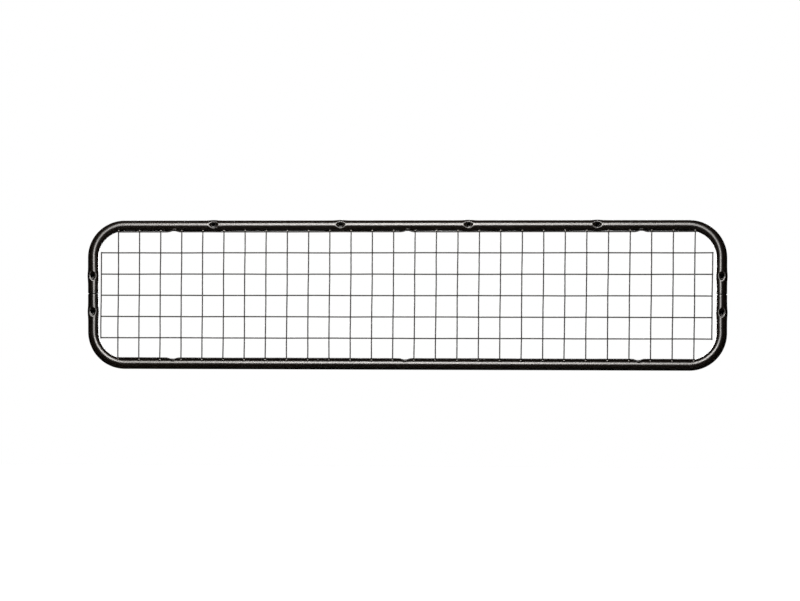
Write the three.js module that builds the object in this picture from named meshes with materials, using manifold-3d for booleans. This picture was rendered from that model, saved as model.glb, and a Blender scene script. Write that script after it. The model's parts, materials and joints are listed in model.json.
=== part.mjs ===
// Wire-mesh windshield screen for an off-road vehicle, in millimetres.
// Two bent steel tubes, an upper and a lower U, butt together over a hidden sleeve in each side
// and make a long round-cornered frame. A welded wire panel lies on the front flank of the frame's
// rails and is tack-welded to them. The frame is pierced by dimpled holes for its fixings.
// X runs along the frame, +Z is up and the screen's front faces -Y.
// The origin is the middle of the frame, on the plane of the tubes' centre lines.
import * as THREE from "three";
import { mergeVertices } from "three/addons/utils/BufferGeometryUtils.js";
import Module from "manifold-3d";

// Frame
const FRAME_WIDTH = 1524; // outside to outside
const FRAME_HEIGHT = 355.6; // outside to outside
const TUBE_DIAMETER = 25.4;
const TUBE_WALL = 1.65;
const BEND_RADIUS = 76.2; // to the tube's centre line
const SEAM_HEIGHT = 2.5; // the joint between the two tubes, above the frame's middle
const SEAM_GAP = 1.2;

// Splice sleeves, hidden inside the two seams
const SLEEVE_END_CLEARANCE = 3; // from each end to the dimple nearest it
const SLEEVE_WALL = 2;
const SLEEVE_CLEARANCE = 0.3; // between sleeve and bore, on the radius
const SLEEVE_CHAMFER = 1;

// Dimpled fixing holes: the punched wall is drawn in to a flat ring round the hole
const HOLE_DIAMETER = 10.3;
const HOLE_SPACING = 304.8; // along the upper rail
const RAIL_HOLES = 4;
const RAIL_HOLE_TILT = 15; // degrees that the upper rail's holes look up
const SIDE_HOLE_OFFSET = 43; // above and below each seam
const DIMPLE_DEPTH = 4;
const DIMPLE_SEAT_RADIUS = 7.5; // outer edge of the flat ring
const DIMPLE_FLARE_ACROSS = 1.5; // how far the dimple's wall leans out over its depth, across the tube
const DIMPLE_FLARE_ALONG = 4.5; // the same along the tube, where the wall is drawn in more gently

// Welded wire panel
const WIRE_DIAMETER = 3.05;
const MESH_PITCH = 50.8;
const MESH_DROP = 1; // the panel sits this much below the frame's middle
const WIRE_STUB = 3.3; // uprights run past the edge wires
const EDGE_OVERHANG = 3; // edge wires run past the last upright
const CROSS_OVERHANG = 0.6; // cross wires and end wires run past each other
const END_WIRE_CLEARANCE = 7.9; // from an end wire to the side of the frame
const BEND_REACH = 13; // how far past the straight of a rail the last upright may stand
const WELD_GAP = 0.3; // between pieces that are welded to each other
const COPE_GAP = 0.25; // round a piece that another is cut to fit

// Tack welds, where an edge wire is bent on to the tube's flank
const TACK_INSET = 3; // cells from the panel's end to the outer tacks
const TACK_LENGTH = 11;
const TACK_RADIUS = 2;
const TACK_STAND = 0.7; // the bead's middle stands this far off the tube
const TACK_ANGLE = 9; // degrees round the tube from the wire to the bead
const BOW_LENGTH = 36; // stretch of edge wire that leaves its line at a tack
const BOW_RAMP = 12; // each end of that stretch, where it slants

// Facets
const TUBE_SIDES = 24;
const BEND_STEPS = 9;
const WIRE_SIDES = 10;
const BOW_STEPS = 9;
const DIMPLE_SIDES = 24;
const BEAD_SIDES = 16;
const BEAD_RINGS = 12;

const degrees = Math.PI / 180;
const tubeRadius = TUBE_DIAMETER / 2;
const boreRadius = tubeRadius - TUBE_WALL;
const wireRadius = WIRE_DIAMETER / 2;
const railAxis = FRAME_HEIGHT / 2 - tubeRadius;
const legAxis = FRAME_WIDTH / 2 - tubeRadius;
const straightRail = legAxis - BEND_RADIUS; // half the length of a rail's straight
const straightLeg = railAxis - BEND_RADIUS;

// The panel's edge wires lie over the frame's inner edge, so the rows share out the clear height.
const clearHeight = FRAME_HEIGHT - 2 * TUBE_DIAMETER;
const rowCount = Math.round(clearHeight / MESH_PITCH);
const rowPitch = clearHeight / rowCount;
const uprightCount = 2 * Math.floor((straightRail + BEND_REACH) / MESH_PITCH + 0.5);
const lastUpright = ((uprightCount - 1) / 2) * MESH_PITCH;
const endWireAt = FRAME_WIDTH / 2 - TUBE_DIAMETER - END_WIRE_CLEARANCE - wireRadius;
const tubeCorner = tubeRadius / Math.cos(Math.PI / TUBE_SIDES); // the faceted tube's widest radius
const wireSeat = tubeCorner + WELD_GAP + wireRadius; // tube axis to the axis of a wire lying on it
const crossPlane = -Math.sqrt(wireSeat ** 2 - (tubeRadius - MESH_DROP) ** 2);
const uprightPlane = crossPlane - WIRE_DIAMETER - WELD_GAP;
const tackAt = (uprightCount / 2 - TACK_INSET) * MESH_PITCH;
const tackPlaces = { left: -tackAt, middle: 0, right: tackAt };

const blackCoat = new THREE.MeshStandardMaterial({ color: 0x1b1a19, roughness: 0.38, metalness: 0.2 });
const wireCoat = new THREE.MeshStandardMaterial({ color: 0x24231f, roughness: 0.45, metalness: 0.2 });
const weldCoat = new THREE.MeshStandardMaterial({ color: 0x1f1e1c, roughness: 0.55, metalness: 0.2 });
const bareSteel = new THREE.MeshStandardMaterial({ color: 0x8c8f91, roughness: 0.35, metalness: 0.9 });

const wasm = await Module();
wasm.setup();

// A closed three.js geometry as a solid that can be cut and joined.
function solidOf(geometry) {
  const bare = geometry.clone();
  bare.deleteAttribute("normal");
  bare.deleteAttribute("uv");
  const merged = mergeVertices(bare, 1e-4);
  return new wasm.Manifold(
    new wasm.Mesh({
      numProp: 3,
      vertProperties: new Float32Array(merged.attributes.position.array),
      triVerts: new Uint32Array(merged.index.array),
    }),
  );
}

function geometryOf(solid) {
  const mesh = solid.getMesh();
  const geometry = new THREE.BufferGeometry();
  geometry.setAttribute("position", new THREE.BufferAttribute(new Float32Array(mesh.vertProperties), 3));
  geometry.setIndex(new THREE.BufferAttribute(new Uint32Array(mesh.triVerts), 1));
  geometry.computeVertexNormals();
  return geometry;
}

function named(name, geometry, material) {
  const mesh = new THREE.Mesh(geometry, material);
  mesh.name = name;
  return mesh;
}

// A path given by hand-placed stations, so that straight stretches take no steps.
class StationPath extends THREE.Curve {
  constructor(stations) {
    super();
    this.stations = stations;
  }
  station(t) {
    return this.stations[Math.round(t * (this.stations.length - 1))];
  }
  getPoint(t, target = new THREE.Vector3()) {
    return target.copy(this.station(t).point);
  }
  getTangent(t, target = new THREE.Vector3()) {
    return target.copy(this.station(t).tangent);
  }
  getTangentAt(u, target) {
    return this.getTangent(u, target);
  }
  getSpacedPoints() {
    return this.stations.map(({ point }) => point.clone());
  }
}

// A regular polygon whose flats touch the circle of that radius and face along its two axes.
function flatSided(radius, sides) {
  const corner = radius / Math.cos(Math.PI / sides);
  const points = Array.from({ length: sides }, (_, i) => {
    const angle = ((i + 0.5) * 2 * Math.PI) / sides;
    return new THREE.Vector2(corner * Math.cos(angle), corner * Math.sin(angle));
  });
  return new THREE.Shape(points);
}

function sweep(stations, radius, sides) {
  const path = new StationPath(stations);
  return new THREE.ExtrudeGeometry(flatSided(radius, sides), { steps: stations.length - 1, extrudePath: path });
}

// Centre line of one U-shaped tube. side is 1 for the upper tube and -1 for the lower one,
// and extra lengthens both legs past the seam.
function tubeStations(side, extra = 0) {
  const legEnd = side * SEAM_HEIGHT + SEAM_GAP / 2 - extra;
  const half = [{ point: new THREE.Vector3(-legAxis, 0, side * legEnd), tangent: new THREE.Vector3(0, 0, side) }];
  for (let i = 0; i <= BEND_STEPS; i++) {
    const turn = (i / BEND_STEPS) * (Math.PI / 2);
    const x = -straightRail - BEND_RADIUS * Math.cos(turn);
    const z = straightLeg + BEND_RADIUS * Math.sin(turn);
    half.push({
      point: new THREE.Vector3(x, 0, side * z),
      tangent: new THREE.Vector3(Math.sin(turn), 0, side * Math.cos(turn)),
    });
  }
  const mirrored = half.map(({ point, tangent }) => ({
    point: new THREE.Vector3(-point.x, point.y, point.z),
    tangent: new THREE.Vector3(tangent.x, tangent.y, -tangent.z),
  }));
  return [...half, ...mirrored.reverse()];
}

// Fixing holes: a point on the tube's axis, the way that the tube runs there and the way that the hole looks.
function railHoles() {
  const tilt = RAIL_HOLE_TILT * degrees;
  return Array.from({ length: RAIL_HOLES }, (_, i) => ({
    at: new THREE.Vector3((i - (RAIL_HOLES - 1) / 2) * HOLE_SPACING, 0, railAxis),
    along: new THREE.Vector3(1, 0, 0),
    facing: new THREE.Vector3(0, -Math.cos(tilt), Math.sin(tilt)),
  }));
}

function sideHoles(side) {
  return [-legAxis, legAxis].map((x) => ({
    at: new THREE.Vector3(x, 0, SEAM_HEIGHT + side * SIDE_HOLE_OFFSET),
    along: new THREE.Vector3(0, 0, 1),
    facing: new THREE.Vector3(0, -1, 0),
  }));
}

// Turns a profile of [radius, height] round a hole's axis, and draws it out along the tube by a share
// that depends on the height.
function turned(profile, hole, stretch = () => 1) {
  const points = profile.map(([radius, height]) => new THREE.Vector2(radius, height));
  const geometry = new THREE.LatheGeometry(points, DIMPLE_SIDES);
  const places = geometry.attributes.position;
  for (let i = 0; i < places.count; i++) places.setX(i, places.getX(i) * stretch(places.getY(i)));
  const across = new THREE.Vector3().crossVectors(hole.along, hole.facing);
  geometry.applyMatrix4(new THREE.Matrix4().makeBasis(hole.along, hole.facing, across));
  geometry.translate(hole.at.x, hole.at.y, hole.at.z);
  return solidOf(geometry);
}

const seatHeight = tubeRadius - DIMPLE_DEPTH; // from the tube's axis to the flat ring
const clearAbove = tubeRadius + TUBE_WALL; // a height that is well outside the tube

// Half the dimple's width or length at a height, out to the far side of a wall measured square to it.
function dimpleReach(flare, height, wall) {
  const slope = flare / DIMPLE_DEPTH;
  return DIMPLE_SEAT_RADIUS + (height - seatHeight) * slope + wall * Math.hypot(1, slope);
}

// The dimple's hollow from a height up, or with a wall the hollow and its wall together.
function dimple(hole, from, wall) {
  const across = (height) => dimpleReach(DIMPLE_FLARE_ACROSS, height, wall);
  const along = (height) => dimpleReach(DIMPLE_FLARE_ALONG, height, wall);
  const profile = [[0, from], [across(from), from], [across(clearAbove), clearAbove], [0, clearAbove]];
  return turned(profile, hole, (height) => along(height) / across(height));
}

function drilling(hole) {
  const from = seatHeight - 2 * TUBE_WALL;
  const radius = HOLE_DIAMETER / 2;
  return turned([[0, from], [radius, from], [radius, clearAbove], [0, clearAbove]], hole);
}

function frameTube(side) {
  const holes = side > 0 ? [...railHoles(), ...sideHoles(side)] : sideHoles(side);
  let outside = solidOf(sweep(tubeStations(side), tubeRadius, TUBE_SIDES));
  let inside = solidOf(sweep(tubeStations(side, 1), boreRadius, TUBE_SIDES));
  for (const hole of holes) inside = inside.subtract(dimple(hole, seatHeight - TUBE_WALL, TUBE_WALL));
  outside = outside.subtract(inside);
  for (const hole of holes) outside = outside.subtract(dimple(hole, seatHeight, 0)).subtract(drilling(hole));
  return geometryOf(outside);
}

function spliceSleeve() {
  const outer = boreRadius - SLEEVE_CLEARANCE;
  const inner = outer - SLEEVE_WALL;
  const dimpleEnd = SIDE_HOLE_OFFSET - dimpleReach(DIMPLE_FLARE_ALONG, tubeRadius, TUBE_WALL);
  const half = dimpleEnd - SLEEVE_END_CLEARANCE;
  const profile = [
    [inner, -half],
    [outer - SLEEVE_CHAMFER, -half],
    [outer, -half + SLEEVE_CHAMFER],
    [outer, half - SLEEVE_CHAMFER],
    [outer - SLEEVE_CHAMFER, half],
    [inner, half],
    [inner, -half],
  ];
  return new THREE.LatheGeometry(profile.map(([x, y]) => new THREE.Vector2(x, y)), TUBE_SIDES);
}

// Height of a rail's centre line above the frame's middle, on the straight or in the bend.
function railHeight(x) {
  const past = Math.max(0, Math.abs(x) - straightRail);
  return straightLeg + Math.sqrt(BEND_RADIUS ** 2 - past ** 2);
}

// How far up or down an upright may reach before its back meets the tube's flank.
function uprightEnd(x, side) {
  const wanted = clearHeight / 2 - side * MESH_DROP + WIRE_STUB;
  const back = -uprightPlane - wireRadius;
  const meets = railHeight(x) - Math.sqrt(Math.max(0, (tubeCorner + WELD_GAP) ** 2 - back ** 2));
  return side * Math.min(wanted, meets);
}

// A straight round wire from one height to another.
function uprightWire(name, x, from, to) {
  const wire = named(name, new THREE.CylinderGeometry(wireRadius, wireRadius, to - from, WIRE_SIDES), wireCoat);
  wire.rotation.x = Math.PI / 2;
  wire.position.set(x, uprightPlane, (from + to) / 2);
  return wire;
}

function crossWire(name, z) {
  const length = 2 * (endWireAt + CROSS_OVERHANG);
  const wire = named(name, new THREE.CylinderGeometry(wireRadius, wireRadius, length, WIRE_SIDES), wireCoat);
  wire.rotation.z = Math.PI / 2;
  wire.position.set(0, crossPlane, z);
  return wire;
}

// Where an edge wire lies when it is bent on to the flank: just hidden behind the tube's inner edge.
const tuckedOffset = tubeRadius - wireRadius - WELD_GAP;
const tuckedPlane = -Math.sqrt(wireSeat ** 2 - tuckedOffset ** 2);

function edgeWirePoint(x, side) {
  const nearest = Math.min(...Object.values(tackPlaces).map((place) => Math.abs(x - place)));
  const bow = THREE.MathUtils.smoothstep(BOW_LENGTH / 2 - nearest, 0, BOW_RAMP);
  const line = side * (clearHeight / 2) - MESH_DROP;
  const tucked = side * (railAxis - tuckedOffset);
  const y = THREE.MathUtils.lerp(crossPlane, tuckedPlane, bow);
  return new THREE.Vector3(x, y, THREE.MathUtils.lerp(line, tucked, bow));
}

function edgeWireStations(side) {
  const end = lastUpright + EDGE_OVERHANG;
  const places = [-end];
  for (const tack of Object.values(tackPlaces)) {
    for (let i = 0; i <= BOW_STEPS; i++) places.push(tack + BOW_LENGTH * (i / BOW_STEPS - 0.5));
  }
  places.push(end);
  const step = 0.01;
  return places.map((x) => ({
    point: edgeWirePoint(x, side),
    tangent: edgeWirePoint(x + step, side).sub(edgeWirePoint(x - step, side)).normalize(),
  }));
}

// The space round a frame tube that a welded piece keeps out of.
function keepOff(side) {
  return solidOf(sweep(tubeStations(side, SEAM_GAP), tubeRadius + COPE_GAP, TUBE_SIDES));
}

// The wire's ends are coped where the frame's bends begin.
function edgeWire(side) {
  const wire = solidOf(sweep(edgeWireStations(side), wireRadius * Math.cos(Math.PI / WIRE_SIDES), WIRE_SIDES));
  return geometryOf(wire.subtract(keepOff(side)));
}

// A bead in the crevice between the tucked edge wire and the tube.
function tackWeld(x, side) {
  const wireAngle = Math.atan2(-tuckedPlane, tuckedOffset);
  const angle = wireAngle + TACK_ANGLE * degrees;
  const reach = tubeCorner + WELD_GAP + TACK_STAND;
  const bead = new THREE.SphereGeometry(1, BEAD_SIDES, BEAD_RINGS);
  bead.scale(TACK_LENGTH / 2, TACK_RADIUS, TACK_RADIUS);
  bead.translate(x, -reach * Math.sin(angle), side * (railAxis - reach * Math.cos(angle)));
  const wireSpace = solidOf(sweep(edgeWireStations(side), wireRadius + COPE_GAP, WIRE_SIDES));
  return geometryOf(solidOf(bead).subtract(keepOff(side)).subtract(wireSpace));
}

const screen = new THREE.Group();
const frame = new THREE.Group();
const panel = new THREE.Group();
screen.add(frame, panel);

frame.add(named("upper_frame_tube", frameTube(1), blackCoat));
frame.add(named("lower_frame_tube", frameTube(-1), blackCoat));

for (const [name, x] of [["left", -legAxis], ["right", legAxis]]) {
  const sleeve = named(`${name}_splice_sleeve`, spliceSleeve(), bareSteel);
  sleeve.rotation.x = Math.PI / 2;
  sleeve.position.set(x, 0, SEAM_HEIGHT);
  frame.add(sleeve);
}

for (let i = 0; i < uprightCount; i++) {
  const x = i * MESH_PITCH - lastUpright;
  const name = `upright_wire_${String(i + 1).padStart(2, "0")}`;
  panel.add(uprightWire(name, x, uprightEnd(x, -1), uprightEnd(x, 1)));
}

const endWireHalf = clearHeight / 2 - rowPitch + wireRadius + CROSS_OVERHANG;
for (const [name, x] of [["left", -endWireAt], ["right", endWireAt]]) {
  panel.add(uprightWire(`${name}_end_wire`, x, -endWireHalf - MESH_DROP, endWireHalf - MESH_DROP));
}

for (let row = 1; row < rowCount; row++) {
  panel.add(crossWire(`cross_wire_${row}`, clearHeight / 2 - row * rowPitch - MESH_DROP));
}

for (const [level, side] of [["top", 1], ["bottom", -1]]) {
  panel.add(named(`${level}_edge_wire`, edgeWire(side), wireCoat));
  for (const [place, x] of Object.entries(tackPlaces)) {
    panel.add(named(`tack_weld_${level}_${place}`, tackWeld(x, side), weldCoat));
  }
}

export default screen;
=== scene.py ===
import json
import math

import bpy
import numpy as np
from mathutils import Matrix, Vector


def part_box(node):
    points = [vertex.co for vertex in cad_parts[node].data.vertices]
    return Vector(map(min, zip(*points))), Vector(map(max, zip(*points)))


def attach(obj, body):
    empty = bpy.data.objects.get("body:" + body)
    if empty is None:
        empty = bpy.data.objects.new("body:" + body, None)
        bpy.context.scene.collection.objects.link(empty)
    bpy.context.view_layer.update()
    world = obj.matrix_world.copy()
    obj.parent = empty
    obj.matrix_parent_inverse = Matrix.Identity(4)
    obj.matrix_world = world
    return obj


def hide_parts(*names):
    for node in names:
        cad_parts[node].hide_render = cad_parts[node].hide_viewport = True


# Looks of a wire-mesh windshield screen: a frame of two bent steel tubes with dimpled fixing holes, filled
# with a welded wire panel, all powder coated satin black.
# Metres, X along the frame, +Z up, the front faces -Y.
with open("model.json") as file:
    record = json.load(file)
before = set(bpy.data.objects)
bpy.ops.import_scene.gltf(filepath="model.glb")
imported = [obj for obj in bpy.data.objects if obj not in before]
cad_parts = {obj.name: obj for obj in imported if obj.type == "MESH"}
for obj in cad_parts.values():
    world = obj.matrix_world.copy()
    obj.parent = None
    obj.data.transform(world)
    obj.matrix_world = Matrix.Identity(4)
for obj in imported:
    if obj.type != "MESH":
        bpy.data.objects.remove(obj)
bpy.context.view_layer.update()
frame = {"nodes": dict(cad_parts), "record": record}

MM = 0.001
BODY = "root"
COURSE = "course"  # UV map whose first coordinate runs along a tube or wire
FORWARD = np.array([0.0, -1.0, 0.0])
TINY = 1e-12  # keeps a row of zeros from being divided by zero
rng = np.random.default_rng(11)

# Frame tubes. Their outer size comes from the CAD boxes.
BEND_RADIUS = 76.2 * MM
TUBE_WALL = 1.65 * MM
TUBE_SIDES = 72
BEND_RINGS = 48
PLAIN_STEP = 8 * MM
LIP_LENGTH = 1.9 * MM  # the tubes' ends are rounded over this length at the seams
LIP_DROP = 1.5 * MM
LIP_RINGS = 6

# Dimpled holes, pressed into the front of the tubes
SEAT_OFFSET = 6.3 * MM  # from a hole's centre to its mount point, along the tube
HOLE_RADIUS = 5.15 * MM
HOLE_EDGE = 0.25 * MM  # rounding of the hole's edges
SEAT_ALONG = 5.2 * MM  # where the flat ring ends and the slope up to the rim starts
SEAT_ACROSS = 5.2 * MM
RIM_ALONG = 12.8 * MM
RIM_ACROSS = 9.6 * MM
RIM_SQUARENESS = 1.6
FOOT_ROUNDING = 0.1  # shares of the slope
RIM_ROUNDING = 0.5
BULGE = 1.25 * MM  # the pressed wall spreads the tube sideways by this much
BULGE_REACH = 12 * MM
BULGE_FACING = math.radians(72)  # from the hole's axis
BULGE_SPREAD = math.radians(34)
DISH_DEPTH = 0.5 * MM  # the wall round a dimple sinks a little with it
DISH_REACH = 17 * MM
DISH_SPREAD = math.radians(45)
DIMPLE_REACH = 2.6 * DISH_REACH
PATCH_CELLS = 28  # along each side of the square patch of wall that a dimple replaces
PATCH_REACH = 15 * MM
OUTER_RINGS = 8  # from the patch's square border to the dimple's rim
INNER_RINGS = 12  # from the rim to the hole's edge
EDGE_RINGS = 4
HOLE_SIDES = 4 * PATCH_CELLS
PATCH_POINTS = (OUTER_RINGS + INNER_RINGS) * HOLE_SIDES

# Splice sleeves inside the seams
SLEEVE_WALL = 2 * MM
SLEEVE_CHAMFER = 1 * MM
SHARP_ANGLE = math.radians(30)

# Welded wire panel
WIRE_RADIUS = 1.525 * MM
WIRE_SIDES = 16
WIRE_STEP = 6 * MM
WIRE_EDGE = 0.5 * MM  # rounding of the wires' cut ends
WIRE_LIP_RINGS = 4
PANEL_LEAN = math.tan(math.radians(0.53))  # the panel is welded in slightly out of square
PANEL_LEFT = 0.8 * MM
WAVE_SHARES = (1.0, 0.43, 0.19)
WAVE_DIVISOR = 1.2
UPRIGHT_WAVE = 0.28 * MM
UPRIGHT_WAVE_LENGTH = 230 * MM
CROSS_WAVE = 0.2 * MM
CROSS_WAVE_LENGTH = 400 * MM
DEPTH_WAVE = 0.08 * MM
EDGE_INSETS = {"top": 0.7 * MM, "bottom": 2.4 * MM}  # of the edge wires from the rails' flanks
BOW_LENGTH = 29 * MM  # of the edge wires' bends on to the rails
BOW_RAMP = 13.5 * MM
WELD_GAP = 0.3 * MM
WELD_BITE = 0.5 * MM  # how far a weld may sink an edge wire towards the rail
CROSSING_SLACK = 1 * MM

# Welds
NUGGET = (2.1 * MM, 0.8 * MM, 2.0 * MM)
STUB = (1.75 * MM, 1.75 * MM, 1.6 * MM)  # the melted end of an upright
STUB_TRIMS = (2.6 * MM, 1.2 * MM)  # what melting took off the uprights' feet and tops
LUMP_RINGS = 8
LUMP_SIDES = 12
LUMP_ROUGHNESS = 0.1
TACK_SHIFTS = {  # of each hand-placed tack weld to the right
    "tack_weld_top_left": 6.0 * MM,
    "tack_weld_top_middle": 7.0 * MM,
    "tack_weld_top_right": 1.2 * MM,
    "tack_weld_bottom_left": 5.0 * MM,
    "tack_weld_bottom_middle": 3.6 * MM,
    "tack_weld_bottom_right": -3.6 * MM,
}
BEAD_HALF_LENGTH = 6.0 * MM
BEAD_RADIUS = 2.5 * MM
BEAD_RINGS = 26
BEAD_SIDES = 20
BEAD_BLUNTNESS = 2.4
BEAD_RIPPLE = 0.07  # shares of the bead's radius
BEAD_RIPPLE_ROUGHNESS = 0.05
BEAD_RIPPLE_TURN = 9.0
BEAD_LOBE = 0.06
BEAD_LOBE_ROUGHNESS = 0.04

# Looks
COAT_DARK = (0.0019, 0.0013, 0.0009)
COAT_LIGHT = (0.0030, 0.0021, 0.0015)
STUB_GLINT_DARK = (0.08, 0.074, 0.067)  # painted highlight: the melted ends are coloured far lighter than the coat, standing in for the glint they catch from the lamp above
STUB_GLINT_LIGHT = (0.14, 0.13, 0.12)
CLOUD_SIZE = 22 * MM
GLOSS_PATCH_SIZE = 5 * MM
GRAIN_SIZE = 0.35 * MM
GRAIN_SHARE = 0.15  # of the orange peel's depth
WELD_LUMP_SIZE = 2.6 * MM
SEAM_COAT = (0.008, 0.0075, 0.007)
SEAM_COAT_REACH = (2 * MM, 4 * MM)  # from the seam to where the coat fades, and to bare steel
STEEL_DARK = (0.36, 0.36, 0.37)
STEEL_LIGHT = (0.52, 0.52, 0.53)
NOISE_RANGE = (0.3, 0.7)  # most of a noise's values
LAMP_COLOUR = (1.0, 0.965, 0.93)
ROOM_LIGHT = 0.004
ROOM_WHITE = 1.0

upper_low, upper_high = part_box("upper_frame_tube")
lower_low, lower_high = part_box("lower_frame_tube")
tube_radius = (lower_high.y - lower_low.y) / 2
tube_lap = 2 * math.pi * tube_radius
rail_axis = upper_high.z - tube_radius
leg_axis = upper_high.x - tube_radius
straight_rail = leg_axis - BEND_RADIUS
straight_leg = rail_axis - BEND_RADIUS
bend_length = BEND_RADIUS * math.pi / 2


# ---- mesh helpers

def new_piece(name, vertices, faces, material, slot, *replaced, course_map=None):
    """A smooth mesh in the frame's only body. course_map gives its face corners' places along and round."""
    mesh = bpy.data.meshes.new(name)
    mesh.from_pydata(np.asarray(vertices).tolist(), [], faces)
    mesh.polygons.foreach_set("use_smooth", [True] * len(faces))
    mesh.materials.append(material)
    mesh.update()
    if course_map is not None:
        mesh.uv_layers.new(name=COURSE).data.foreach_set("uv", course_map.ravel())
    piece = bpy.data.objects.new(name, mesh)
    bpy.context.scene.collection.objects.link(piece)
    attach(piece, BODY)
    if replaced:
        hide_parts(*replaced)
    return piece


def unit(rows):
    return rows / np.maximum(np.linalg.norm(rows, axis=-1, keepdims=True), TINY)


def side_angles(sides):
    return np.arange(sides) * 2 * math.pi / sides


def ring_strip(first, second, count):
    """Faces between two closed rings of vertices, given as the number of each ring's first vertex."""
    turn = [(i + 1) % count for i in range(count)]
    return [(first + i, first + turn[i], second + turn[i], second + i) for i in range(count)]


def ring_strips(firsts, count):
    """Faces between each of a row of rings and the next one."""
    faces = []
    for here, there in zip(firsts, firsts[1:]):
        faces += ring_strip(here, there, count)
    return faces


def capped_rings(rings, sides):
    """Faces of a row of rings, closed at its start and end on to two more vertices."""
    faces = ring_strips(range(0, rings * sides, sides), sides)
    start = rings * sides
    end = start + 1
    last = start - sides
    for i in range(sides):
        k = (i + 1) % sides
        faces.append((start, k, i))
        faces.append((end, last + i, last + k))
    return faces


def flipped(faces):
    return [face[::-1] for face in faces]


# ---- frame tubes: the centre line, and rings of vertices along it

def tube_lengths(leg_end):
    """A U-shaped tube's straight leg, and its whole centre line."""
    leg = straight_leg - leg_end
    return leg, 2 * (leg + bend_length + straight_rail)


def u_route(s, leg_end):
    """A U-shaped tube's centre line at lengths s from its left end: places, and ways out of the frame."""
    leg, length = tube_lengths(leg_end)
    hand = np.where(s <= length / 2, 1.0, -1.0)
    t = np.minimum(s, length - s)
    turn = np.clip((t - leg) / BEND_RADIUS, 0, math.pi / 2)
    x = -straight_rail - BEND_RADIUS * np.cos(turn) + np.maximum(t - leg - bend_length, 0)
    z = np.minimum(leg_end + t, straight_leg) + BEND_RADIUS * np.sin(turn)
    none = np.zeros_like(t)
    place = np.stack([hand * x, none, z], -1)
    outward = np.stack([-hand * np.cos(turn), none, np.sin(turn)], -1)
    return place, outward


def ring_places(length, leg, holes):
    """Lengths along a tube at which its wall has a ring: close together at dimples, in bends and at ends."""
    lip = LIP_LENGTH * (1 - np.sin(np.linspace(math.pi / 2, 0, LIP_RINGS, endpoint=False)))
    lip_start = length - LIP_LENGTH
    busy = [(leg, leg + bend_length, BEND_RINGS), (length - leg - bend_length, length - leg, BEND_RINGS)]
    busy += [(hole - PATCH_REACH, hole + PATCH_REACH, PATCH_CELLS) for hole in holes]
    places = [lip]
    at = LIP_LENGTH
    for start, end, count in sorted(busy) + [(lip_start, lip_start, 0)]:
        plain = max(1, math.ceil((start - at) / PLAIN_STEP))
        places.append(np.linspace(at, start, plain, endpoint=False))
        places.append(np.linspace(start, end, count, endpoint=False))
        at = end
    places.append([lip_start])
    places.append((length - lip)[::-1])
    return np.concatenate(places)


def end_drop(s, length):
    """How far the wall is drawn in by the rounding at a tube's ends."""
    past = np.clip(1 - np.minimum(s, length - s) / LIP_LENGTH, 0, 1)
    return LIP_DROP * (1 - np.sqrt(1 - past ** 2))


def round_wall(s, leg_end, radius):
    """The plain round wall's points, for each ring and each side of the tube."""
    centre, outward = u_route(s, leg_end)
    angles = side_angles(TUBE_SIDES)
    way = np.cos(angles)[:, None] * FORWARD + np.sin(angles)[:, None] * outward[:, None, :]
    return centre[:, None, :] + radius[:, None, None] * way


# ---- frame tubes: dimples

def tube_holes(side, leg, length):
    """One tube's holes: length along it, angle round it, and how far the dimple's ring is from its axis."""
    found = []
    for mount in frame["record"]["mounts"]:
        name = mount["name"]
        x, y, z = mount["pos_m"]
        if name.startswith("rail_seat") and side > 0:
            angle = math.atan2(mount["axis"][2], -mount["axis"][1])
            seat = math.hypot(y, z - rail_axis)
            found.append((leg + bend_length + straight_rail + x - SEAT_OFFSET, angle, seat))
        upper = name.endswith("_upper")
        if name.startswith("side_seat") and upper == (side > 0):
            from_end = leg - (straight_leg - (side * z - SEAT_OFFSET))
            found.append((from_end if x < 0 else length - from_end, 0.0, -y))
    return sorted(found)


def hole_ways(facing, outward):
    """A hole's own axis, and the way across the tube from it."""
    axis = math.cos(facing) * FORWARD + math.sin(facing) * outward
    sideways = -math.sin(facing) * FORWARD + math.cos(facing) * outward
    return axis, sideways


def from_facing(angle, facing):
    """An angle round the tube, measured from a hole's axis and within half a turn of it."""
    return (angle - facing + math.pi) % (2 * math.pi) - math.pi


def oval_reach(course, along, across, squareness):
    """How far an oval reaches from its middle. It is an ellipse where its squareness is 2."""
    share = (np.abs(np.cos(course)) / along) ** squareness + (np.abs(np.sin(course)) / across) ** squareness
    return share ** (-1 / squareness)


def rim_reach(course):
    return oval_reach(course, RIM_ALONG, RIM_ACROSS, RIM_SQUARENESS)


def pressed_slope(t):
    """A straight slope from 0 to 1 that is rounded a little at its foot and more at its rim."""
    t = np.clip(t, 0, 1)
    foot = np.minimum(t, FOOT_ROUNDING) ** 2 / (2 * FOOT_ROUNDING)
    straight = np.clip(t, FOOT_ROUNDING, 1 - RIM_ROUNDING) - FOOT_ROUNDING
    past = np.minimum(1 - t, RIM_ROUNDING)
    rim = (RIM_ROUNDING ** 2 - past ** 2) / (2 * RIM_ROUNDING)
    return (foot + straight + rim) / (1 - (FOOT_ROUNDING + RIM_ROUNDING) / 2)


def pressed(along, arc, seat):
    """Where a dimple presses a point of the round wall: across the tube, and out along the hole's axis."""
    angle = arc / tube_radius
    across = tube_radius * np.sin(angle)
    height = tube_radius * np.cos(angle)
    course = np.arctan2(across, along)
    foot = oval_reach(course, SEAT_ALONG, SEAT_ACROSS, 2)
    rise = pressed_slope((np.hypot(along, across) - foot) / (rim_reach(course) - foot))
    dish = DISH_DEPTH * np.exp(-(along / DISH_REACH) ** 2) * np.exp(-(angle / DISH_SPREAD) ** 2)
    front = np.abs(angle) < math.pi / 2
    height = np.where(front, seat + (height - dish - seat) * rise, height)
    near = np.exp(-(along / BULGE_REACH) ** 2)
    flank = np.exp(-((np.abs(angle) - BULGE_FACING) / BULGE_SPREAD) ** 2)
    return across + np.sign(angle) * BULGE * near * flank, height


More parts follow.
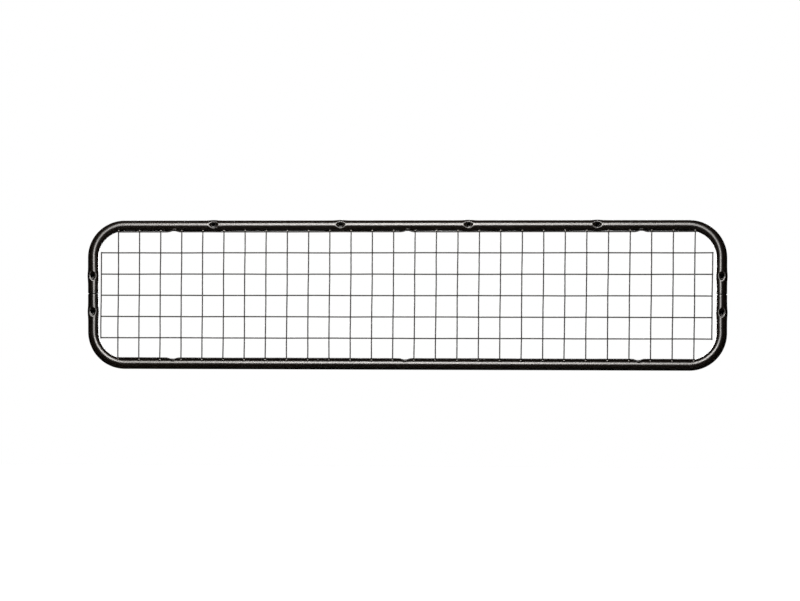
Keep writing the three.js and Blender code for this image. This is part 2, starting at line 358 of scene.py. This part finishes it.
def dimpled(along, arc, hole, leg_end):
    """Points of the wall near a hole, from their places along and round the tube, measured from the hole."""
    place, facing, seat = hole
    across, height = pressed(along, arc, seat)
    centre, outward = u_route(along + place, leg_end)
    axis, sideways = hole_ways(facing, outward)
    return centre + across[..., None] * sideways + height[..., None] * axis


def patch_corner(hole, s):
    """The first ring and side of the square patch of wall round a hole."""
    place, facing, _ = hole
    first_ring = int(np.argmin(np.abs(s - (place - PATCH_REACH))))
    first_side = round(facing / (2 * math.pi) * TUBE_SIDES) - PATCH_CELLS // 2
    return first_ring, first_side


def patch_outline(first_ring, first_side):
    """The border of a dimple's square patch, as (ring, side) numbers that run once round it."""
    n = PATCH_CELLS
    corner = [(i, 0) for i in range(n)] + [(n, i) for i in range(n)]
    corner += [(n - i, n) for i in range(n)] + [(0, n - i) for i in range(n)]
    return [(first_ring + i, (first_side + j) % TUBE_SIDES) for i, j in corner]


def on_wall(reach, course):
    """Places along and round the wall that are a reach away from a hole's axis."""
    arc = tube_radius * np.arcsin(reach * np.sin(course) / tube_radius)
    return np.stack([reach * np.cos(course), arc], -1)


def rings_between(first, last, count):
    """A count of rings that go on from the first one and end with the last one."""
    return [first + (last - first) * k / count for k in range(1, count + 1)]


def hole_patch(hole, corner, s, leg_end, count):
    """The wall round one hole, whose first vertex is number count: rings that go from a square border to the
    round hole's edge. Gives vertices, their places along and round the tube, and faces."""
    place, facing, _ = hole
    outline = patch_outline(*corner)
    angles = side_angles(TUBE_SIDES)
    border = [(s[i] - place, tube_radius * from_facing(angles[j], facing)) for i, j in outline]
    border = np.array(border)
    course = np.arctan2(border[:, 1], border[:, 0])
    rim = on_wall(rim_reach(course), course)
    edge = on_wall(HOLE_RADIUS + HOLE_EDGE, course)
    flat = np.concatenate(rings_between(border, rim, OUTER_RINGS) + rings_between(rim, edge, INNER_RINGS))
    numbers = [i * TUBE_SIDES + j for i, j in outline]
    faces = []
    for i in range(HOLE_SIDES):
        k = (i + 1) % HOLE_SIDES
        faces.append((numbers[i], numbers[k], count + k, count + i))
    faces += ring_strips(range(count, count + PATCH_POINTS, HOLE_SIDES), HOLE_SIDES)
    return dimpled(*flat.T, hole, leg_end), flat + np.array([place, facing * tube_radius]), faces


def hole_edge(hole, leg_end, ring):
    """A hole's own wall with softened edges, between the skin's ring of vertices and the lining's."""
    place, facing, seat = hole
    centre, outward = u_route(np.array([place]), leg_end)
    axis, _ = hole_ways(facing, outward[0])
    middle = centre[0] + seat * axis
    spoke = ring - middle
    way = unit(spoke - (spoke @ axis)[:, None] * axis)
    profile = []
    for k in range(1, EDGE_RINGS + 1):
        turn = k / EDGE_RINGS * math.pi / 2
        profile.append((HOLE_RADIUS + HOLE_EDGE * (1 - math.sin(turn)), HOLE_EDGE * (1 - math.cos(turn))))
    profile += [(reach, TUBE_WALL - depth) for reach, depth in profile[::-1]]
    return np.concatenate([middle + reach * way - depth * axis for reach, depth in profile])


# ---- frame tubes: the whole tube

def wall_faces(rings, corners):
    """Faces of the plain wall, without the squares that the dimples' patches fill."""
    skipped = np.zeros((rings, TUBE_SIDES), bool)
    for first_ring, first_side in corners:
        sides = (first_side + np.arange(PATCH_CELLS)) % TUBE_SIDES
        skipped[first_ring:first_ring + PATCH_CELLS, sides] = True
    faces = []
    for i in range(rings - 1):
        here = i * TUBE_SIDES
        there = here + TUBE_SIDES
        for j in range(TUBE_SIDES):
            k = (j + 1) % TUBE_SIDES
            if not skipped[i, j]:
                faces.append((here + j, there + j, there + k, here + k))
    return faces


def tube_skin(s, length, leg_end, holes):
    """A tube's outer skin and the lining behind it, which is still nan near dimples: vertices of both, their
    places along and round the tube, the skin's faces, and the numbers of the faces inside a dimple's rim."""
    outer = round_wall(s, leg_end, tube_radius - end_drop(s, length))
    inner = round_wall(s, leg_end, np.full(len(s), tube_radius - TUBE_WALL))
    angles = side_angles(TUBE_SIDES)
    for hole in holes:
        place, facing, _ = hole
        near = (np.abs(s - place) < DIMPLE_REACH) & (np.minimum(s, length - s) > LIP_LENGTH)
        arc = from_facing(angles, facing) * tube_radius
        outer[near] = dimpled(*np.meshgrid(s[near] - place, arc, indexing="ij"), hole, leg_end)
        inner[near] = np.nan
    skin = [outer.reshape(-1, 3)]
    courses = [np.stack(np.meshgrid(s, angles * tube_radius, indexing="ij"), -1).reshape(-1, 2)]
    corners = [patch_corner(hole, s) for hole in holes]
    faces = wall_faces(len(s), corners)
    inside = []
    for number, hole in enumerate(holes):
        first = outer.shape[0] * TUBE_SIDES + number * PATCH_POINTS
        patch, patch_courses, patch_faces = hole_patch(hole, corners[number], s, leg_end, first)
        inside += range(len(faces) + OUTER_RINGS * HOLE_SIDES, len(faces) + len(patch_faces))
        skin.append(patch)
        courses.append(patch_courses)
        faces += patch_faces
    lining = [inner.reshape(-1, 3), np.full((len(holes) * PATCH_POINTS, 3), np.nan)]
    return np.concatenate(skin), np.concatenate(lining), np.concatenate(courses), faces, inside


def skin_normals(vertices, faces):
    quads = vertices[np.array(faces)]
    face_normals = np.cross(quads[:, 2] - quads[:, 0], quads[:, 3] - quads[:, 1])
    normals = np.zeros_like(vertices)
    for corner in range(4):
        np.add.at(normals, np.array(faces)[:, corner], face_normals)
    return unit(normals)


def round_holes(courses, holes):
    """Places round a hole and away from it, for the vertices near one."""
    turned = courses.copy()
    for place, facing, _ in holes:
        offset = courses - np.array([place, facing * tube_radius])
        reach = np.hypot(*offset.T)
        near = reach < 2 * PATCH_REACH
        turned[near, 0] = np.arctan2(offset[near, 1], offset[near, 0]) * SEAT_ACROSS
        turned[near, 1] = reach[near]
    return turned


def tube_course_map(courses, faces, holes, inside):
    """Each face corner's place along and round the tube, without the jump where one lap ends, or round the
    hole inside a dimple, so that the coat's sheen follows the wall."""
    course_map = courses[faces]
    first = course_map[:, :1, 1]
    course_map[..., 1] = first + (course_map[..., 1] - first + tube_lap / 2) % tube_lap - tube_lap / 2
    course_map[inside] = round_holes(courses, holes)[faces[inside]]
    return course_map


def frame_tube(node, side, leg_end, material):
    """One U-shaped tube: outer skin, lining, and the edges that join them at its holes and ends. It is made
    as an upper tube, and turned over where side is -1."""
    leg, length = tube_lengths(leg_end)
    holes = tube_holes(side, leg, length)
    s = ring_places(length, leg, [place for place, _, _ in holes])
    skin, lining, courses, faces, inside = tube_skin(s, length, leg_end, holes)
    by_dimples = np.isnan(lining)
    lining[by_dimples] = (skin - TUBE_WALL * skin_normals(skin, faces))[by_dimples]
    behind = len(skin)
    vertices, all_courses = [skin, lining], [courses, courses]
    faces += [tuple(corner + behind for corner in face) for face in flipped(faces)]
    for number, hole in enumerate(holes):
        first = len(s) * TUBE_SIDES + (number + 1) * PATCH_POINTS - HOLE_SIDES
        ring = slice(first, first + HOLE_SIDES)
        made = sum(len(part) for part in vertices)
        vertices.append(hole_edge(hole, leg_end, skin[ring]))
        all_courses.append(np.tile(courses[ring], (2 * EDGE_RINGS, 1)))
        rings = [first] + [made + k * HOLE_SIDES for k in range(2 * EDGE_RINGS)] + [behind + first]
        faces += ring_strips(rings, HOLE_SIDES)
    last = (len(s) - 1) * TUBE_SIDES
    faces += ring_strip(0, behind, TUBE_SIDES)
    faces += flipped(ring_strip(last, behind + last, TUBE_SIDES))
    solid = np.concatenate(vertices) * np.array([1, 1, side])
    faces = np.array(faces)[:, ::side]
    course_map = tube_course_map(np.concatenate(all_courses), faces, holes, inside)
    used, numbers = np.unique(faces, return_inverse=True)
    return new_piece(node + "_bent", solid[used], numbers.reshape(-1, 4).tolist(), material, "frame_coat",
                     node, course_map=course_map)


# ---- splice sleeves

def splice_sleeve(name, material):
    low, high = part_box(name)
    outer = (high.y - low.y) / 2
    inner = outer - SLEEVE_WALL
    chamfered = outer - SLEEVE_CHAMFER
    middle = (low.x + high.x) / 2
    profile = [(inner, low.z), (chamfered, low.z), (outer, low.z + SLEEVE_CHAMFER),
               (outer, high.z - SLEEVE_CHAMFER), (chamfered, high.z), (inner, high.z)]
    vertices = [(middle + radius * math.cos(angle), radius * math.sin(angle), z)
                for radius, z in profile for angle in side_angles(TUBE_SIDES)]
    faces = ring_strips([*range(0, len(vertices), TUBE_SIDES), 0], TUBE_SIDES)
    sleeve = new_piece(name + "_turned", vertices, faces, material, "bare_steel", name)
    sleeve.data.set_sharp_from_angle(angle=SHARP_ANGLE)


# ---- wire panel

def wave(places, height, longest):
    """A smooth seeded unevenness along a wire."""
    total = np.zeros_like(places)
    for share in WAVE_SHARES:
        total += share * np.sin(places * 2 * math.pi / (longest * share) + rng.uniform(0, 2 * math.pi))
    return height * total / WAVE_DIVISOR


def leaned(points):
    """The panel's place in the frame: a little to the left, and leaning in the frame's own plane."""
    moved = np.array(points, float)
    moved[:, 0] += PANEL_LEAN * moved[:, 2] - PANEL_LEFT
    return moved


def wire_rings(points):
    """Where a wire has rings of vertices: their places along it, their centres and their radii."""
    steps = np.linalg.norm(np.diff(points, axis=0), axis=1)
    reach = np.concatenate([[0], np.cumsum(steps)])
    length = reach[-1]
    lip = WIRE_EDGE * (1 - np.sin(np.linspace(math.pi / 2, 0, WIRE_LIP_RINGS, endpoint=False)))
    plain = np.linspace(WIRE_EDGE, length - WIRE_EDGE, max(2, round(length / WIRE_STEP)))
    s = np.concatenate([lip, plain, (length - lip)[::-1]])
    centre = np.stack([np.interp(s, reach, points[:, axis]) for axis in range(3)], -1)
    past = np.clip(1 - np.minimum(s, length - s) / WIRE_EDGE, 0, 1)
    return s, centre, WIRE_RADIUS - WIRE_EDGE * (1 - np.sqrt(1 - past ** 2))


def drawn_wire(node, points, material):
    """A closed round wire along points, with its two cut ends softened."""
    s, centre, radius = wire_rings(points)
    along = unit(np.gradient(centre, s, axis=0))
    side_way = unit(np.cross(along, [0.0, 1.0, 0.0]))
    front_way = np.cross(side_way, along)
    angles = side_angles(WIRE_SIDES)
    way = np.cos(angles)[:, None] * side_way[:, None, :] + np.sin(angles)[:, None] * front_way[:, None, :]
    rings = centre[:, None, :] + radius[:, None, None] * way
    vertices = np.concatenate([rings.reshape(-1, 3), centre[:1], centre[-1:]])
    courses = np.stack(np.meshgrid(s, angles * WIRE_RADIUS, indexing="ij"), -1).reshape(-1, 2)
    courses = np.concatenate([courses, courses[:1], courses[-1:]])
    faces = flipped(capped_rings(len(s), WIRE_SIDES))
    course_map = courses[np.concatenate(faces)]
    new_piece(node + "_drawn", vertices, faces, material, "wire_coat", node, course_map=course_map)


def upright(node, material, trims=(0, 0)):
    """An upright or end wire, cut short at its foot and top by trims."""
    low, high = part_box(node)
    z = np.linspace(low.z + trims[0], high.z - trims[1], max(4, round((high.z - low.z) / WIRE_STEP)))
    x = (low.x + high.x) / 2 + wave(z, UPRIGHT_WAVE, UPRIGHT_WAVE_LENGTH)
    y = (low.y + high.y) / 2 + wave(z, DEPTH_WAVE, UPRIGHT_WAVE_LENGTH)
    points = leaned(np.stack([x, y, z], -1))
    drawn_wire(node, points, material)
    return points


def cross_wire(node, material):
    low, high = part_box(node)
    x = np.linspace(low.x, high.x, round((high.x - low.x) / WIRE_STEP))
    y = (low.y + high.y) / 2 + wave(x, DEPTH_WAVE, UPRIGHT_WAVE_LENGTH)
    z = (low.z + high.z) / 2 + wave(x, CROSS_WAVE, CROSS_WAVE_LENGTH)
    points = leaned(np.stack([x, y, z], -1))
    drawn_wire(node, points, material)
    return points


def middle_of(node):
    low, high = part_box(node)
    return (low + high) / 2


def rail_height(x):
    """Height of the upper rail's centre line over the middle of the frame. The bends are part of it."""
    past = np.maximum(0, np.abs(x) - straight_rail)
    return straight_leg + np.sqrt(BEND_RADIUS ** 2 - past ** 2)


def tack_bow(x, level):
    """1 where an edge wire is bent on to the rail for a tack weld, 0 where it follows the panel."""
    tacks = [middle_of(node).x + TACK_SHIFTS[node] for node in TACK_SHIFTS if level in node]
    nearest = np.min([np.abs(x - tack) for tack in tacks], axis=0)
    ramp = np.clip((BOW_LENGTH / 2 - nearest) / BOW_RAMP, 0, 1)
    return ramp * ramp * (3 - 2 * ramp)


def edge_wire(node, level, material):
    """A panel's edge wire: on the panel's line, and bent on to the rail's flank at each tack weld."""
    side = 1 if level == "top" else -1
    low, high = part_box(node)
    middle = middle_of("cross_wire_3")
    line = middle.z + side * (rail_axis - tube_radius - EDGE_INSETS[level])
    x = np.linspace(low.x, high.x, round((high.x - low.x) / (WIRE_STEP / 2)))
    bow = tack_bow(x, level)
    seat = tube_radius + WELD_GAP + WIRE_RADIUS
    tucked = tube_radius - WIRE_RADIUS - WELD_GAP
    tucked_plane = -math.sqrt(seat ** 2 - tucked ** 2)
    z = line + (side * (rail_axis - tucked) - line) * bow + wave(x, CROSS_WAVE, CROSS_WAVE_LENGTH) * (1 - bow)
    y = middle.y + (tucked_plane - middle.y) * bow
    drop = np.abs(side * rail_height(x) - z)
    clear = np.maximum((seat - WELD_BITE) ** 2 - drop ** 2, 0)
    y = -np.sqrt(np.maximum(y ** 2, clear))
    points = leaned(np.stack([x, y, z], -1))
    drawn_wire(node, points, material)
    return points


# ---- welds

def lump(centre, radii):
    """A closed uneven blob."""
    turns = np.linspace(0, math.pi, LUMP_RINGS + 1)[1:-1]
    ways = [(math.sin(t) * math.cos(a), math.cos(t), math.sin(t) * math.sin(a))
            for t in turns for a in side_angles(LUMP_SIDES)]
    ways = np.array(ways + [(0, 1, 0), (0, -1, 0)])
    swell = 1 + LUMP_ROUGHNESS * rng.uniform(-1, 1, len(ways))
    vertices = np.array(centre) + ways * swell[:, None] * np.array(radii)
    return vertices, capped_rings(len(turns), LUMP_SIDES)


def joined(parts):
    vertices, faces, count = [], [], 0
    for part_vertices, part_faces in parts:
        vertices.append(part_vertices)
        faces += [tuple(corner + count for corner in face) for face in part_faces]
        count += len(part_vertices)
    return np.concatenate(vertices), faces


def crossing_welds(name, row, uprights, material):
    """The squeezed-out metal where one cross wire is welded to the uprights."""
    parts = []
    for wire in uprights:
        z = np.interp(wire[0, 0], row[:, 0], row[:, 2])
        if wire[:, 2].min() - CROSSING_SLACK < z < wire[:, 2].max() + CROSSING_SLACK:
            x = np.interp(z, wire[:, 2], wire[:, 0])
            z = np.interp(x, row[:, 0], row[:, 2])
            front = np.interp(z, wire[:, 2], wire[:, 1]) + WIRE_RADIUS
            back = np.interp(x, row[:, 0], row[:, 1]) - WIRE_RADIUS
            parts.append(lump((x, (front + back) / 2, z), NUGGET))
    new_piece(name, *joined(parts), material, "weld_coat")


def stub_ends(name, uprights, material):
    """The uprights' two ends, melted round where they were welded over the edge wires."""
    ends = [wire[number] for wire in uprights for number in (0, -1)]
    new_piece(name, *joined([lump(end, STUB) for end in ends]), material, "weld_coat")


def bead_ripple(t):
    """Unevenness along a bead, as a share of its radius."""
    phase = rng.uniform(0, 6)
    rough = BEAD_RIPPLE_ROUGHNESS * rng.uniform(-1, 1, len(t))
    return 1 + BEAD_RIPPLE * np.cos(t * BEAD_RIPPLE_TURN + phase) + rough


def bead_lobes(angles):
    """Unevenness round a bead, as a share of its radius."""
    phase = rng.uniform(0, 6)
    rough = BEAD_LOBE_ROUGHNESS * rng.uniform(-1, 1, len(angles))
    return 1 + BEAD_LOBE * np.cos(2 * angles + phase) + rough


def tack_bead(node, material):
    """A short rippled weld bead in the crevice between the tucked edge wire and the tube."""
    centre = np.array(middle_of(node))
    centre[0] += PANEL_LEAN * centre[2] + TACK_SHIFTS[node]
    t = np.linspace(-1, 1, BEAD_RINGS)[1:-1]
    angles = side_angles(BEAD_SIDES)
    radius = BEAD_RADIUS * (1 - np.abs(t) ** BEAD_BLUNTNESS) ** 0.5 * bead_ripple(t)
    reach = radius[:, None] * bead_lobes(angles)
    x = centre[0] + BEAD_HALF_LENGTH * np.repeat(t[:, None], BEAD_SIDES, axis=1)
    rings = np.stack([x, centre[1] + reach * np.cos(angles), centre[2] + reach * np.sin(angles)], -1)
    tip = np.array([BEAD_HALF_LENGTH, 0, 0])
    vertices = np.concatenate([rings.reshape(-1, 3), [centre - tip, centre + tip]])
    faces = capped_rings(len(t), BEAD_SIDES)
    new_piece(node + "_bead", vertices, faces, material, "weld_coat", node)


# ---- shader helpers

def node_material(name):
    material = bpy.data.materials.new(name)
    material.use_nodes = True
    tree = material.node_tree
    return material, tree, tree.nodes["Principled BSDF"]


def noise(tree, size, detail=2.0):
    """Noise whose features are about size metres across, in the object's own coordinates."""
    place = tree.nodes.new("ShaderNodeTexCoord")
    texture = tree.nodes.new("ShaderNodeTexNoise")
    texture.inputs["Scale"].default_value = 1 / size
    texture.inputs["Detail"].default_value = detail
    tree.links.new(place.outputs["Object"], texture.inputs["Vector"])
    return texture.outputs["Fac"]


def ranged(tree, value, low, high, source=NOISE_RANGE):
    """A value brought from its source range to the one between low and high."""
    node = tree.nodes.new("ShaderNodeMapRange")
    node.inputs["From Min"].default_value = source[0]
    node.inputs["From Max"].default_value = source[1]
    node.inputs["To Min"].default_value = low
    node.inputs["To Max"].default_value = high
    tree.links.new(value, node.inputs["Value"])
    return node.outputs["Result"]


def tinted(tree, value, dark, light):
    ramp = tree.nodes.new("ShaderNodeValToRGB")
    for element, position, colour in zip(ramp.color_ramp.elements, NOISE_RANGE, (dark, light)):
        element.position = position
        element.color = (*colour, 1)
    tree.links.new(value, ramp.inputs["Fac"])
    return ramp.outputs["Color"]


def bumped(tree, shader, value, depth, under=None):
    """Relief over what is under it. It becomes the shader's normal, until more is put over it."""
    bump = tree.nodes.new("ShaderNodeBump")
    bump.inputs["Strength"].default_value = 1
    bump.inputs["Distance"].default_value = depth
    tree.links.new(value, bump.inputs["Height"])
    if under is not None:
        tree.links.new(under, bump.inputs["Normal"])
    tree.links.new(bump.outputs["Normal"], shader.inputs["Normal"])
    return bump.outputs["Normal"]


def calculated(tree, operation, value, other=0.0):
    node = tree.nodes.new("ShaderNodeMath")
    node.operation = operation
    node.inputs[1].default_value = other
    tree.links.new(value, node.inputs[0])
    return node.outputs[0]


# ---- materials

def powder_coat(name, colours, roughness, gloss, peel_depth, peel_size, lump_depth=0.0, drawn=0.0):
    """Satin powder coat: orange peel, faint cloudiness in colour and gloss, and lumps over a weld. drawn is
    how much more its sheen spreads along a tube than round it."""
    material, tree, shader = node_material(name)
    shader.inputs["Specular IOR Level"].default_value = gloss
    if drawn:
        course = tree.nodes.new("ShaderNodeTangent")
        course.direction_type = "UV_MAP"
        course.uv_map = COURSE
        tree.links.new(course.outputs["Tangent"], shader.inputs["Tangent"])
        shader.inputs["Anisotropic"].default_value = drawn
    tree.links.new(tinted(tree, noise(tree, CLOUD_SIZE), *colours), shader.inputs["Base Color"])
    tree.links.new(ranged(tree, noise(tree, GLOSS_PATCH_SIZE), *roughness), shader.inputs["Roughness"])
    peel = bumped(tree, shader, noise(tree, peel_size, detail=1.0), peel_depth)
    grain = bumped(tree, shader, noise(tree, GRAIN_SIZE, detail=1.0), peel_depth * GRAIN_SHARE, under=peel)
    if lump_depth:
        bumped(tree, shader, noise(tree, WELD_LUMP_SIZE), lump_depth, under=grain)
    return material


def tube_coat():
    return powder_coat("tube_coat", (COAT_DARK, COAT_LIGHT), roughness=(0.39, 0.45), gloss=0.9,
                       peel_depth=0.03 * MM, peel_size=1.3 * MM, drawn=0.9)


def wire_coat():
    return powder_coat("wire_coat", (COAT_DARK, COAT_LIGHT), roughness=(0.42, 0.50), gloss=0.4,
                       peel_depth=0.02 * MM, peel_size=0.9 * MM, drawn=0.9)


def weld_coat():
    return powder_coat("weld_coat", (COAT_DARK, COAT_LIGHT), roughness=(0.34, 0.46), gloss=0.3,
                       peel_depth=0.05 * MM, peel_size=0.9 * MM, lump_depth=0.25 * MM)


# Painted highlight: a much lighter colour than the tube coat stands in for the glint that the melted ends
# catch from the lamp above.
def stub_glint_coat():
    return powder_coat("stub_glint_coat", (STUB_GLINT_DARK, STUB_GLINT_LIGHT), roughness=(0.26, 0.36), gloss=1.0,
                       peel_depth=0.03 * MM, peel_size=0.9 * MM)


def sleeve_steel():
    """Drawn steel, coated black only in the narrow band that the seam's gap leaves open."""
    material, tree, shader = node_material("sleeve_steel")
    place = tree.nodes.new("ShaderNodeTexCoord")
    split = tree.nodes.new("ShaderNodeSeparateXYZ")
    tree.links.new(place.outputs["Object"], split.inputs["Vector"])
    above = calculated(tree, "SUBTRACT", split.outputs["Z"], (upper_low.z + lower_high.z) / 2)
    bare = ranged(tree, calculated(tree, "ABSOLUTE", above), 0, 1, SEAM_COAT_REACH)
    mix = tree.nodes.new("ShaderNodeMix")
    mix.data_type = "RGBA"
    mix.inputs["A"].default_value = (*SEAM_COAT, 1)
    tree.links.new(bare, mix.inputs["Factor"])
    streaks = noise(tree, size=3 * MM, detail=4.0)
    tree.links.new(tinted(tree, streaks, STEEL_DARK, STEEL_LIGHT), mix.inputs["B"])
    tree.links.new(mix.outputs["Result"], shader.inputs["Base Color"])
    tree.links.new(bare, shader.inputs["Metallic"])
    roughness = ranged(tree, noise(tree, size=2 * MM, detail=3.0), low=0.3, high=0.5)
    tree.links.new(roughness, shader.inputs["Roughness"])
    bumped(tree, shader, noise(tree, size=0.6 * MM, detail=3.0), depth=0.01 * MM)
    return material


# ---- camera, light and floor

def photo_camera(place, tilt, turn, lens):
    """The photo's camera: a long lens, a little to the right of the middle. Angles are in degrees."""
    camera = bpy.data.objects.new("camera", bpy.data.cameras.new("camera"))
    camera.data.lens = lens
    camera.data.sensor_width = 36
    camera.data.clip_end = 100
    camera.location = place
    camera.rotation_euler = (math.radians(tilt), 0, math.radians(turn))
    bpy.context.scene.collection.objects.link(camera)
    bpy.context.scene.camera = camera


def softbox(name, centre, aim, size, watts, colour=(1, 1, 1)):
    """A rectangular lamp, seen in the coat's sheen but not by the camera."""
    light = bpy.data.lights.new(name, "AREA")
    light.shape = "RECTANGLE"
    light.size, light.size_y = size
    light.energy = watts
    light.color = colour
    box = bpy.data.objects.new(name, light)
    box.location = centre
    towards = Vector((np.array(aim) - np.array(centre)).tolist())
    box.rotation_euler = towards.to_track_quat("-Z", "Y").to_euler()
    box.visible_camera = False
    bpy.context.scene.collection.objects.link(box)


def floor_lamp():
    """Sun from straight above, which lights the floor evenly and makes no highlight."""
    sun = bpy.data.objects.new("floor_lamp", bpy.data.lights.new("floor_lamp", "SUN"))
    sun.data.energy = 3.7
    sun.data.angle = math.radians(30)
    sun.visible_glossy = False
    bpy.context.scene.collection.objects.link(sun)


def floor_material():
    material, tree, shader = node_material("pale_floor")
    clouds = tinted(tree, noise(tree, 300 * MM), (0.9, 0.9, 0.9), (0.92, 0.92, 0.92))
    tree.links.new(clouds, shader.inputs["Base Color"])
    shader.inputs["Roughness"].default_value = 0.9
    shader.inputs["Specular IOR Level"].default_value = 0.0
    return material


def pale_floor():
    """A wide floor well below the screen, most of it behind."""
    rows, columns = 6, 8
    width, depth, behind, height = 8.0, 6.0, 1.0, -0.75
    vertices = [(width * (i / columns - 0.5), depth * (j / rows - 0.5) + behind, height)
                for j in range(rows + 1) for i in range(columns + 1)]
    corners = [j * (columns + 1) + i for j in range(rows) for i in range(columns)]
    faces = [(corner, corner + 1, corner + columns + 2, corner + columns + 1) for corner in corners]
    mesh = bpy.data.meshes.new("floor")
    mesh.from_pydata(vertices, [], faces)
    mesh.materials.append(floor_material())
    floor = bpy.data.objects.new("floor", mesh)
    floor.visible_glossy = False
    bpy.context.scene.collection.objects.link(floor)


def white_room():
    """White behind the object, and a dim even light on it."""
    world = bpy.data.worlds.new("room")
    bpy.context.scene.world = world
    world.use_nodes = True
    tree = world.node_tree
    background = tree.nodes["Background"]
    background.inputs["Color"].default_value = (1, 1, 1, 1)
    path = tree.nodes.new("ShaderNodeLightPath")
    mix = tree.nodes.new("ShaderNodeMix")
    mix.data_type = "FLOAT"
    mix.inputs["A"].default_value = ROOM_LIGHT
    mix.inputs["B"].default_value = ROOM_WHITE
    tree.links.new(path.outputs["Is Camera Ray"], mix.inputs["Factor"])
    tree.links.new(mix.outputs["Result"], background.inputs["Strength"])


def studio():
    photo_camera(place=(0.430, -5.931, 0.091), tilt=89.0, turn=4.253, lens=112.5)
    white_room()
    pale_floor()
    floor_lamp()
    softbox("main_softbox", centre=(-0.10, -1.35, 1.05), aim=(-0.06, 0, 0), size=(0.7, 1.2), watts=108,
            colour=LAMP_COLOUR)
    softbox("back_softbox", centre=(0, 2.6, 0.2), aim=(0, 0, 0), size=(2.4, 0.7), watts=60)


# ---- the screen

def build():
    """Every piece of the screen. The seeded draws depend on the order that they are made in."""
    coat, wire, weld, stub_glint = tube_coat(), wire_coat(), weld_coat(), stub_glint_coat()
    steel = sleeve_steel()
    frame_tube("upper_frame_tube", 1, upper_low.z, coat)
    frame_tube("lower_frame_tube", -1, -lower_high.z, coat)
    for side in ("left", "right"):
        splice_sleeve(f"{side}_splice_sleeve", steel)
    nodes = sorted(frame["nodes"])
    uprights = [upright(node, wire, STUB_TRIMS) for node in nodes if node.startswith("upright_wire")]
    ends = [upright(f"{side}_end_wire", wire) for side in ("left", "right")]
    rows = {node: cross_wire(node, wire) for node in nodes if node.startswith("cross_wire")}
    for level in ("top", "bottom"):
        rows[f"{level}_edge_wire"] = edge_wire(f"{level}_edge_wire", level, wire)
    for node, row in rows.items():
        crossing_welds(f"{node}_welds", row, uprights + ends, weld)
    # the melted ends carry the painted highlight colour
    stub_ends("upright_stub_ends", uprights, stub_glint)
    for node in nodes:
        if node.startswith("tack_weld"):
            tack_bead(node, weld)


build()
studio()
bpy.context.scene.view_settings.view_transform = "Standard"
